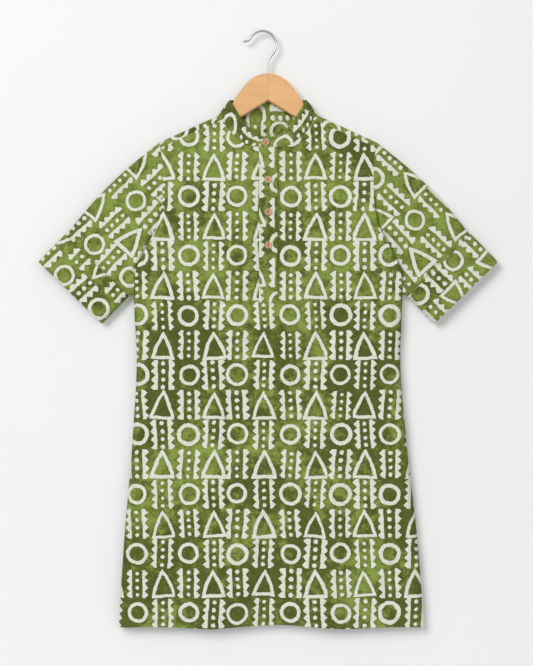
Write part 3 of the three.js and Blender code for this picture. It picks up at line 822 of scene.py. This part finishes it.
def button_shell():
    graph = Graph("turned_button")
    here = graph.here()
    cloud = graph.ramp(graph.noise(here, 420.0, 4.0, 0.6), 0.35, 0.68)
    ring = graph.noise(here, 1500.0)
    colour = graph.mix(cloud, (0.6, 0.32, 0.17), (0.24, 0.105, 0.05))
    graph.colour(graph.mix(ring * 0.3, colour, (0.68, 0.42, 0.26)))
    graph.bump(ring, 0.00006)
    graph.fixed(Roughness=0.36, Coat_Weight=0.2, Coat_Roughness=0.25)
    return graph.material


def made(name, build, *values):
    """The named material, made the first time it is asked for."""
    return bpy.data.materials.get(name) or build(*values)


# ---- body


class KURTA_OT_body(bpy.types.Operator):
    """Front and back panels with their creases, necklines, slits and hems"""

    bl_idname = "kurta.body"
    bl_label = "Body panels"

    def execute(self, context):
        front = panel_points(-1, ACROSS[None, :], DOWN[:, None])
        in_slot = np.abs(ACROSS[1:] + ACROSS[:-1]) / 2 < SLOT_HALF
        above_foot = np.arange(len(DOWN) - 1) < SLOT_ROW
        keep = ~(in_slot[None, :] & above_foot[:, None])
        piece = cloth("front", front, body_print(front), keep=keep)

        across = ACROSS[::-1]
        seam = wrap_points(across, 0.0) - np.array((0, -SEAM_DITCH, SEAM_FORWARD - WRAP_RADIUS))
        wraps = [wrap_points(across, turn) for turn in WRAP_TURNS]
        panel = panel_points(1, across[None, :], DOWN[:, None])
        back = np.concatenate((np.stack([seam, *wraps]), panel))
        in_neck = np.abs((across[1:] + across[:-1]) / 2) < NECK_SIDE
        keep = ~(in_neck[None, :] & (np.arange(len(back) - 1)[:, None] < len(wraps) + 1))
        piece = cloth("back", back, body_print(back, BACK_PRINT), keep=keep)
        return {"FINISHED"}


# ---- placket


def placket_lattice(half, downs):
    across = np.linspace(-half, half, 11)
    return panel_points(-1, across[None, :], downs[:, None])


def placket_foot():
    return DOWN[SLOT_ROW] + PLACKET_OVERHANG / (HEM_DROP - FRONT_NECK[0, 1])


def placket_over_lattice():
    downs = np.append(DOWN[: SLOT_ROW + 1], placket_foot())
    return lifted(placket_lattice(PLACKET_HALF, downs), PLACKET_LAYER)


class KURTA_OT_placket(bpy.types.Operator):
    """The covering strip of the half placket and the strip under it"""

    bl_idname = "kurta.placket"
    bl_label = "Placket"

    def execute(self, context):
        over = placket_over_lattice()
        piece = cloth("placket_over", over, body_print(over, OVER_PRINT))
        under = placket_lattice(SLOT_HALF - SLOT_GAP, DOWN[:SLOT_ROW])
        piece = cloth("placket_under", under, body_print(under, UNDER_PRINT))
        return {"FINISHED"}


# ---- collar


def collar_top(seam):
    x = COLLAR_RATIO * seam[:, 0]
    front = COLLAR_FRONT_DROP - COLLAR_FRONT_RISE * x * x
    back = COLLAR_BACK_DROP + COLLAR_BACK_FALL * x * x
    drop = np.where(seam[:, 1] < 0, front, back)
    y = COLLAR_TOP_DEPTH * np.clip(seam[:, 1] / WRAP_RADIUS, -1, 1)
    return np.stack((x, y, -drop), axis=-1)


def neck_seam():
    """Seam points in order, each with its distance from a band end and how far the end laps over."""
    front_x = subdivided(np.array((0.0, 30, 49, 62, 68, 72)), FINE_STEP)
    back_x = subdivided(np.array((72.0, 0, -72)), FINE_STEP)
    turns = np.linspace(0, 1, 13)
    over_x = subdivided(np.array((OVER_END, OVER_END + 3, 0.0)), 1.2)
    under_x = subdivided(np.array((0.0, UNDER_END - 3, UNDER_END)), 1.2)
    parts = (
        panel_points(-1, over_x, 0.0),
        panel_points(-1, front_x[1:-1], 0.0),
        wrap_points(NECK_SIDE, turns),
        panel_points(1, back_x[1:-1], 0.0),
        wrap_points(-NECK_SIDE, turns[::-1]),
        panel_points(-1, -front_x[-2:0:-1], 0.0),
        panel_points(-1, under_x, 0.0),
    )
    points = np.concatenate(parts)
    run = np.concatenate(((0.0,), np.cumsum(norm(np.diff(points, axis=0), axis=1))))
    ends = np.minimum(run, run[-1] - run)
    lap = 1 - smooth((run - COLLAR_LAP_REACH) / COLLAR_LAP_FADE)
    return points, run, ends, lap


def collar_lattice():
    seam, run, ends, lap = neck_seam()
    top = collar_top(seam)
    height = norm(top - seam, axis=1, keepdims=True)
    corner = COLLAR_CORNER * (1 - rounded(ends / COLLAR_CORNER))[:, None]
    peak = top + (seam - top) * (corner / height)
    shares = np.linspace(0, 1, 10)[:, None, None]
    lattice = peak[None] + (seam - peak)[None] * shares
    outward = seam * np.array(COLLAR_BELLY_WAY)
    outward /= np.maximum(norm(outward, axis=1, keepdims=True), 1e-6)
    lattice += outward[None] * (COLLAR_BELLY * np.sin(np.pi * shares))
    lattice[..., 1] -= (COLLAR_LAP * lap)[None]
    across, down = np.broadcast_arrays(27 * shares[..., 0], run[None])
    return lattice, np.stack((across, down), axis=-1) + np.array(COLLAR_PRINT)


class KURTA_OT_collar(bpy.types.Operator):
    """The stand collar band with its rounded ends lapped at the front"""

    bl_idname = "kurta.collar"
    bl_label = "Collar"

    def execute(self, context):
        piece = cloth("collar", *collar_lattice())
        return {"FINISHED"}


# ---- sleeves


def armhole_ring():
    downs = DOWN[: UNDERARM_ROW + 1]
    front = panel_points(-1, SHOULDER_HALF, downs)[::-1]
    back = panel_points(1, SHOULDER_HALF, downs)
    return np.concatenate((front, wrap_points(SHOULDER_HALF, WRAP_TURNS), back))


MOUTH_LINE = (CUFF_BOTTOM - CUFF_TOP) / norm(CUFF_BOTTOM - CUFF_TOP)
ALONG_SLEEVE = np.array((-MOUTH_LINE[2], 0, MOUTH_LINE[0]))


def across_sleeve(share, back_from_mouth):
    mouth = CUFF_TOP + (CUFF_BOTTOM - CUFF_TOP) * share[:, None]
    return mouth - ALONG_SLEEVE * back_from_mouth


def sleeve_lattice(tuck_depth):
    """A sleeve laid out on the wearer's left, from the armhole to its mouth, and its cuff."""
    start = armhole_ring()
    cap_drop = float(ridge_drop(SHOULDER_HALF))
    share = (-start[:, 2] - cap_drop) / (UNDERARM_DROP - cap_drop)
    fullness = np.clip(start[:, 1] / WRAP_RADIUS, -1, 1)
    fold, mouth = across_sleeve(share, TURN_UP), across_sleeve(share, 0.0)
    fold[:, 1], mouth[:, 1] = fullness * SLEEVE_DEPTH, fullness * MOUTH_DEPTH
    near_seam = (0.0, 0.006, 0.02)
    upper_steps = np.concatenate((near_seam, np.linspace(0.04, 1, 54)))[:, None, None]
    bulge = CAP_BULGE * np.sin(np.pi * upper_steps) * (1 - share)[None, :, None] ** 2
    bulge_way = np.array((1, 0, 1)) / math.sqrt(2)
    upper = start[None] + (fold - start)[None] * upper_steps + bulge * bulge_way
    lower_steps = np.linspace(0, 1, 19)[1:, None, None]
    lower = fold[None] + (mouth - fold)[None] * lower_steps
    lattice = np.concatenate((upper, lower))
    side = np.sign(lattice[..., 1])
    held = smooth(np.abs(fullness) * 1.1 - 0.1)[None] * smooth(np.arange(len(lattice)) / 6)[:, None]
    beside = norm(lattice - start[None], axis=-1)
    ends = smooth((share - TUCK_START) / TUCK_FADE) * smooth((1 - share) / 0.12) * np.abs(fullness)
    lattice[..., 1] -= side * tuck_depth * bell(beside / TUCK_REACH) * smooth(beside) * ends[None]
    for way in (-1, 1):
        relief = cloth_relief(way, lattice[..., 0], -lattice[..., 2]) * held
        lattice[..., 1] += np.where(side == way, way * relief, 0)
    cuff = cuff_lattice(lattice, len(upper) - 1)
    from_fold = (np.arange(len(lattice)) - len(upper) + 2)[:, None]
    lattice[..., 1] -= side * CUFF_DITCH * bell(from_fold / 1.2) * np.abs(fullness)[None]
    return lattice, cuff


def sleeve_print(lattice, shift):
    """Print coordinates along the sleeve: across from its top fold, down from a triangle row."""
    return np.stack((-lattice @ MOUTH_LINE, lattice @ ALONG_SLEEVE), axis=-1) + np.array(shift)


def cuff_lattice(sleeve, fold_row):
    """The turned-up cuff: out round the sleeve's mouth and back up over it."""
    turned = lifted(sleeve[fold_row:], CUFF_LAYER, closed=True)
    step = sleeve[-1] - sleeve[-2]
    rim = sleeve[-1] + CUFF_RIM * step / norm(step, axis=1, keepdims=True)
    outer_rim = (rim + turned[-1] + CUFF_RIM_ROUND * (turned[-1] - turned[-2])) / 2
    return np.concatenate((turned, outer_rim[None], rim[None]))


class KURTA_OT_sleeves(bpy.types.Operator):
    """Both sleeves and their turned-up cuffs"""

    bl_idname = "kurta.sleeves"
    bl_label = "Sleeves and cuffs"

    def execute(self, context):
        for name, hand in (("left", 1), ("right", -1)):
            mirror = np.array((hand, 1, 1))
            sleeve, cuff = sleeve_lattice(TUCK_DEPTHS[name])
            options = {"closed": True, "flip": hand < 0}
            shift = SLEEVE_PRINT[name]
            piece = cloth(f"sleeve_{name}", sleeve * mirror, sleeve_print(sleeve, shift), **options)
            turned = sleeve_print(cuff, shift)
            turned[..., 1] = 2 * (CUFF_TOP @ ALONG_SLEEVE + shift[1]) - turned[..., 1]
            piece = cloth(f"cuff_{name}", cuff * mirror, turned, **options)
        return {"FINISHED"}


# ---- stitches


def stitch_row(line, pitch):
    """Small lozenges of thread along a line of outer-surface points, as vertices and faces."""
    steps = norm(np.diff(line, axis=0), axis=1)
    run = np.concatenate(((0.0,), np.cumsum(steps)))
    thick, long = 0.32, 0.68 * pitch
    vertices, faces = [], []

    def at(distance):
        return np.array([np.interp(distance, run, line[:, k]) for k in range(3)])

    for start in np.arange(pitch * 0.3, run[-1] - pitch, pitch):
        head, tail = at(start), at(start + long)
        middle = (head + tail) / 2
        way = (tail - head) / max(norm(tail - head), 1e-6)
        out = np.array((0.0, math.copysign(1.0, middle[1]), 0.0))
        aside = np.cross(way, out)
        k = len(vertices)
        vertices += [head, *(middle + thick * to for to in (aside, out, -aside, -out)), tail]
        for i in range(4):
            near, far = k + 1 + i, k + 1 + (i + 1) % 4
            faces += [(k, near, far), (k + 5, far, near)]
    return np.array(vertices), faces


def stitch_lines():
    """Outer-surface lines of the tunic that carry a row of stitching."""
    out = CLOTH / 2 + 0.1
    lines = []
    for side in (-1, 1):
        lift = np.array((0, side * out, 0))
        inset = ACROSS[np.abs(ACROSS) < 171.5]
        share = 1 - HEM_STITCH / (HEM_DROP - SEAM_TIP_DROP)
        lines.append(panel_points(side, inset, share) + lift)
        downs = DOWN[LEVELS > SLIT_DROP - SLIT_STITCH_RISE]
        for edge in (-SLIT_STITCH_X, SLIT_STITCH_X):
            lines.append(panel_points(side, edge, downs) + lift)
    over = placket_over_lattice()
    for column in (1, -2):
        lines.append(over[:-1, column] - np.array((0, out, 0)))
    lines.append(over[-3, 1:-1] - np.array((0, out, 0)))
    collar, _ = collar_lattice()
    for row in (1, -2):
        sides = np.sign(collar[row, :, 1:2]) * np.array((0, out, 0))
        lines.append((collar[row] + sides)[4:-8])
    return lines


class KURTA_OT_stitching(bpy.types.Operator):
    """Rows of topstitching on the hem, slits, placket and collar"""

    bl_idname = "kurta.stitching"
    bl_label = "Stitching"

    def execute(self, context):
        settings = context.scene.kurta
        vertices, faces = [], []
        for line in stitch_lines():
            more, more_faces = stitch_row(line, settings.stitch_length / MM)
            offset = sum(len(part) for part in vertices)
            vertices.append(more)
            faces += [tuple(offset + k for k in face) for face in more_faces]
        places = np.concatenate(vertices)
        places[:, 0] += CENTRE_X
        mesh = bpy.data.meshes.new("kurta_stitching")
        mesh.from_pydata((places * MM).tolist(), [], faces)
        mesh.materials.append(made("sewing_thread", sewing_thread, settings))
        piece = bpy.data.objects.new("kurta_stitching", mesh)
        context.collection.objects.link(piece)
        select_only(piece)
        bpy.ops.object.mode_set(mode="EDIT")
        bpy.ops.mesh.select_all(action="SELECT")
        bpy.ops.mesh.normals_make_consistent(inside=False)
        bpy.ops.object.mode_set(mode="OBJECT")
        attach(piece, "root")
        return {"FINISHED"}


# ---- buttons


def turned_button(radius, thickness):
    """A dished button with a raised rim and two holes, facing the front at the origin."""
    cylinder = bpy.ops.mesh.primitive_cylinder_add
    button = added(cylinder, vertices=48, radius=radius, depth=thickness, rotation=FACE_FRONT)
    bpy.ops.object.transform_apply(location=False, rotation=True, scale=False)
    mesh = button.data
    bpy.ops.object.mode_set(mode="EDIT")
    bpy.ops.mesh.select_mode(type="FACE")
    bpy.ops.mesh.select_all(action="DESELECT")
    bpy.ops.object.mode_set(mode="OBJECT")
    for polygon in mesh.polygons:
        polygon.select = polygon.normal.y < -0.9
    bpy.ops.object.mode_set(mode="EDIT")
    bpy.ops.mesh.inset(thickness=radius * 0.22)
    bpy.ops.mesh.inset(thickness=radius * 0.1)
    bpy.ops.transform.translate(value=(0, thickness * 0.3, 0))
    bpy.ops.object.mode_set(mode="OBJECT")
    for z in (-0.3, 0.3):
        cut_hole(button, radius * 0.17, z * radius, thickness)
    bevel = button.modifiers.new("edge", "BEVEL")
    bevel.width = thickness * 0.13
    bevel.segments = 3
    bevel.limit_method = "ANGLE"
    bevel.angle_limit = math.radians(40)
    bpy.ops.object.modifier_apply(modifier=bevel.name)
    shade(button, 35)
    return button


def cut_hole(button, radius, z, thickness):
    size = {"radius": radius, "depth": 4 * thickness}
    place = {"location": (0, 0, z), "rotation": FACE_FRONT}
    drill = added(bpy.ops.mesh.primitive_cylinder_add, vertices=16, **size, **place)
    select_only(button)
    cut = button.modifiers.new("hole", "BOOLEAN")
    cut.object = drill
    cut.operation = "DIFFERENCE"
    cut.solver = "EXACT"
    bpy.ops.object.modifier_apply(modifier=cut.name)
    bpy.data.objects.remove(drill)


def thread_loops(radius, thickness):
    """Strands of thread from one hole to the other."""
    spacing = 0.07 * radius
    sphere = bpy.ops.mesh.primitive_uv_sphere_add
    place = (-spacing, -thickness * 0.24, 0)
    strands = added(sphere, segments=10, ring_count=8, radius=1.0, location=place)
    strands.scale = (radius * 0.045, thickness * 0.12, radius * 0.25)
    bpy.ops.object.transform_apply(location=True, rotation=True, scale=True)
    row = strands.modifiers.new("row", "ARRAY")
    row.count = 3
    row.use_relative_offset = False
    row.use_constant_offset = True
    row.constant_offset_displace = (spacing, 0, 0)
    bpy.ops.object.modifier_apply(modifier=row.name)
    return strands


class KURTA_OT_buttons(bpy.types.Operator):
    """The four sewn buttons"""

    bl_idname = "kurta.buttons"
    bl_label = "Buttons"

    def execute(self, context):
        low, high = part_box("button_4")
        radius, thickness = (high.x - low.x) / 2, high.y - low.y
        button, loops = turned_button(radius, thickness), thread_loops(radius, thickness)
        button.data.materials.append(made("turned_button", button_shell))
        loops.data.materials.append(made("button_thread", button_thread, context.scene.kurta))
        for number in range(1, 5):
            node = f"button_{number}"
            low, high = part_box(node)
            lean = button_lean(high.y - low.y, radius, thickness)
            for source, kind in ((button, "kurta_button"), (loops, "kurta_button_thread")):
                piece = source.copy()
                piece.data = source.data.copy()
                piece.name = f"{kind}_{number}"
                context.collection.objects.link(piece)
                piece.location = (low + high) / 2
                piece.rotation_euler = (-lean, 0, 0)
                select_only(piece)
                bpy.ops.object.transform_apply(location=True, rotation=True, scale=True)
                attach(piece, "root")
                if source is button:
                    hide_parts(node)
        for source in (button, loops):
            bpy.data.objects.remove(source)
        return {"FINISHED"}


def button_lean(depth, radius, thickness):
    """The lean of a button whose box is this deep."""
    angles = np.linspace(0, math.radians(60), 241)
    depths = 2 * radius * np.sin(angles) + thickness * np.cos(angles)
    return float(angles[np.argmin(np.abs(depths - depth))])


# ---- hanger


class KURTA_OT_hanger(bpy.types.Operator):
    """The hanger's two wooden halves and its wire hook"""

    bl_idname = "kurta.hanger"
    bl_label = "Hanger"

    def execute(self, context):
        settings = context.scene.kurta_hanger
        for side, lean, tone in (("left", 0.43, 1.0), ("right", -0.43, 0.97)):
            node = f"hanger_arm_{side}"
            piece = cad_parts[node].copy()
            piece.data = piece.data.copy()
            piece.name = f"kurta_{node}"
            piece.parent = None
            context.collection.objects.link(piece)
            select_only(piece)
            bpy.ops.object.mode_set(mode="EDIT")
            bpy.ops.mesh.select_all(action="SELECT")
            bpy.ops.mesh.remove_doubles(threshold=0.00001)
            bpy.ops.object.mode_set(mode="OBJECT")
            bpy.ops.mesh.customdata_custom_splitnormals_clear()
            piece.data.materials.clear()
            piece.data.materials.append(beech_wood(f"beech_{side}", settings, lean, tone))
            shade(piece, 40)
            for polygon in piece.data.polygons:
                polygon.use_smooth = abs(polygon.normal.y) < 0.99
            finish_piece(piece, "hanger_wood", node)
        hook = hook_wire(settings.wire_radius)
        hook.data.materials.append(made("bright_wire", bright_wire))
        finish_piece(hook, "hook_wire", "hanger_hook")
        return {"FINISHED"}


def bezier(a, b, c, d, count):
    """Points between the ends of a cubic curve."""
    t = np.linspace(0, 1, count)[1:-1, None]
    return a * (1 - t) ** 3 + 3 * b * t * (1 - t) ** 2 + 3 * c * t * t * (1 - t) + d * t**3


def hook_line():
    """The wire's centre line: shank, swell to the side, crown and flared tip."""
    angles = np.radians(np.linspace(*CROWN_ARC, 60))
    crown = HOOK_RADIUS * np.stack((np.cos(angles), np.sin(angles)), axis=-1)
    crown += (0.0, WIRE / 2 - HOOK_RADIUS)
    heights = np.linspace(-CROWN_DROP - SHANK_DEPTH, SHANK_TOP, 12)
    shank = np.stack((np.full(12, CENTRE_X), heights), axis=-1)
    foot, start, end = shank[-1], crown[0], crown[-1]
    swell = bezier(foot, foot + SWELL_PULLS[0], start + SWELL_PULLS[1], start, 14)
    tip = end + TIP
    flare = bezier(end, end + TIP_PULLS[0], end + TIP_PULLS[1], tip, 12)
    return np.concatenate((shank, swell, crown, flare, tip[None]))


def hook_wire(radius):
    """A round wire along the hook's line, with a rounded tip."""
    wire = added(bpy.ops.curve.primitive_nurbs_path_add)
    wire.name = "kurta_hook"
    curve = wire.data
    curve.splines.clear()
    line = hook_line() * MM
    spline = curve.splines.new("POLY")
    way = (line[-1] - line[-2]) / norm(line[-1] - line[-2])
    rounding = (0.5, 1.0, 1.35)
    caps = [line[-1] + way * radius * math.sin(angle) for angle in rounding]
    sizes = [1.0] * len(line) + [math.cos(angle) for angle in rounding]
    path = np.concatenate((line, caps))
    spline.points.add(len(path) - 1)
    for point, (x, z), size in zip(spline.points, path, sizes):
        point.co = (x, 0, z, 1)
        point.radius = size
    curve.bevel_depth = radius
    curve.bevel_resolution = 5
    curve.use_fill_caps = True
    bpy.ops.object.convert(target="MESH")
    select_only(wire)
    bpy.ops.object.transform_apply(location=True, rotation=True, scale=True)
    shade(wire, 50)
    return wire


# ---- stage


class KURTA_OT_stage(bpy.types.Operator):
    """A pale floor and wall, soft light from the upper left, and the camera"""

    bl_idname = "kurta.stage"
    bl_label = "Stage"

    def execute(self, context):
        settings = context.scene.kurta_stage
        scene = context.scene
        scene.view_settings.view_transform = "Standard"
        view_x, view_z = (CENTRE_X + VIEW_CENTRE[0]) * MM, VIEW_CENTRE[1] * MM
        camera = bpy.data.objects.new("camera", bpy.data.cameras.new("camera"))
        scene.collection.objects.link(camera)
        camera.location = (view_x, -settings.distance, view_z)
        camera.rotation_euler = FACE_FRONT
        camera.data.lens = camera.data.sensor_width * settings.distance / settings.view_height
        scene.camera = camera
        for name, place, size, share in LIGHTS:
            self.light(name, place, size, settings.key_power * share)
        self.world(scene)
        place = (CENTRE_X * MM, 0, -HEM_DROP * MM - FLOOR_GAP)
        circle = bpy.ops.mesh.primitive_circle_add
        floor = added(circle, vertices=96, radius=FLOOR_RADIUS, fill_type="NGON", location=place)
        floor.name = "floor"
        graph = Graph("pale_floor")
        graph.colour((0.8, 0.81, 0.83, 1))
        graph.fixed(Roughness=0.9)
        floor.data.materials.append(graph.material)
        self.wall()
        return {"FINISHED"}

    @staticmethod
    def wall():
        """A pale wall close behind the tunic, seen only from its front and casting no shade."""
        place = (CENTRE_X * MM, WALL_BEHIND, WALL_HEIGHT)
        plane = bpy.ops.mesh.primitive_plane_add
        wall = added(plane, size=1.0, location=place, rotation=FACE_FRONT)
        wall.name = "wall"
        wall.scale = WALL_SIZE
        bpy.ops.object.transform_apply(location=True, rotation=True, scale=True)
        wall.visible_diffuse = False
        wall.visible_glossy = False
        wall.visible_transmission = False
        wall.visible_shadow = False
        graph = Graph("pale_wall")
        graph.colour((0.765, 0.775, 0.762, 1))
        graph.fixed(Roughness=1.0, Specular_IOR_Level=0.0)
        nodes, links = graph.nodes, graph.links
        mix = nodes.new("ShaderNodeMixShader")
        links.new(nodes.new("ShaderNodeNewGeometry").outputs["Backfacing"], mix.inputs[0])
        links.new(graph.shader.outputs[0], mix.inputs[1])
        links.new(nodes.new("ShaderNodeBsdfTransparent").outputs[0], mix.inputs[2])
        links.new(mix.outputs[0], nodes["Material Output"].inputs[0])
        wall.data.materials.append(graph.material)

    @staticmethod
    def light(name, place, size, power):
        data = bpy.data.lights.new(name, "AREA")
        data.size = size
        data.energy = power
        lamp = bpy.data.objects.new(name, data)
        bpy.context.scene.collection.objects.link(lamp)
        lamp.location = place
        lamp.visible_camera = False
        direction = Vector((CENTRE_X * MM, 0, LIT_HEIGHT)) - Vector(place)
        lamp.rotation_euler = direction.to_track_quat("-Z", "Y").to_euler()

    @staticmethod
    def world(scene):
        """Pale surroundings: bright where the camera sees them, softer as a light."""
        world = bpy.data.worlds.new("studio")
        scene.world = world
        world.use_nodes = True
        nodes, links = world.node_tree.nodes, world.node_tree.links
        shown = nodes["Background"]
        shown.inputs["Color"].default_value = (0.85, 0.865, 0.89, 1)
        lighting = nodes.new("ShaderNodeBackground")
        lighting.inputs["Color"].default_value = (0.97, 0.985, 1.0, 1)
        lighting.inputs["Strength"].default_value = 0.5
        mix = nodes.new("ShaderNodeMixShader")
        path = nodes.new("ShaderNodeLightPath")
        links.new(path.outputs["Is Camera Ray"], mix.inputs[0])
        links.new(lighting.outputs[0], mix.inputs[1])
        links.new(shown.outputs[0], mix.inputs[2])
        links.new(mix.outputs[0], nodes["World Output"].inputs[0])


# ---- panel and run


class KURTA_PT_tools(bpy.types.Panel):
    """Buttons for each part of the tunic"""

    bl_label = "Kurta Tunic"
    bl_idname = "KURTA_PT_tools"
    bl_space_type = "VIEW_3D"
    bl_region_type = "UI"
    bl_category = "Kurta"

    def draw(self, context):
        for settings in (context.scene.kurta, context.scene.kurta_hanger, context.scene.kurta_stage):
            for name in settings.__annotations__:
                self.layout.prop(settings, name)
        for step in STEPS:
            self.layout.operator(step.bl_idname)


STEPS = (
    KURTA_OT_stage,
    KURTA_OT_body,
    KURTA_OT_placket,
    KURTA_OT_collar,
    KURTA_OT_sleeves,
    KURTA_OT_stitching,
    KURTA_OT_buttons,
    KURTA_OT_hanger,
)
CLASSES = (KurtaSettings, HangerSettings, StageSettings, *STEPS, KURTA_PT_tools)


def register():
    for entry in CLASSES:
        bpy.utils.register_class(entry)
    bpy.types.Scene.kurta = PointerProperty(type=KurtaSettings)
    bpy.types.Scene.kurta_hanger = PointerProperty(type=HangerSettings)
    bpy.types.Scene.kurta_stage = PointerProperty(type=StageSettings)


def unregister():
    del bpy.types.Scene.kurta_stage
    del bpy.types.Scene.kurta_hanger
    del bpy.types.Scene.kurta
    for entry in reversed(CLASSES):
        bpy.utils.unregister_class(entry)


def main():
    register()
    for step in STEPS:
        group, name = step.bl_idname.split(".")
        getattr(getattr(bpy.ops, group), name)()


if __name__ == "__main__":
    main()
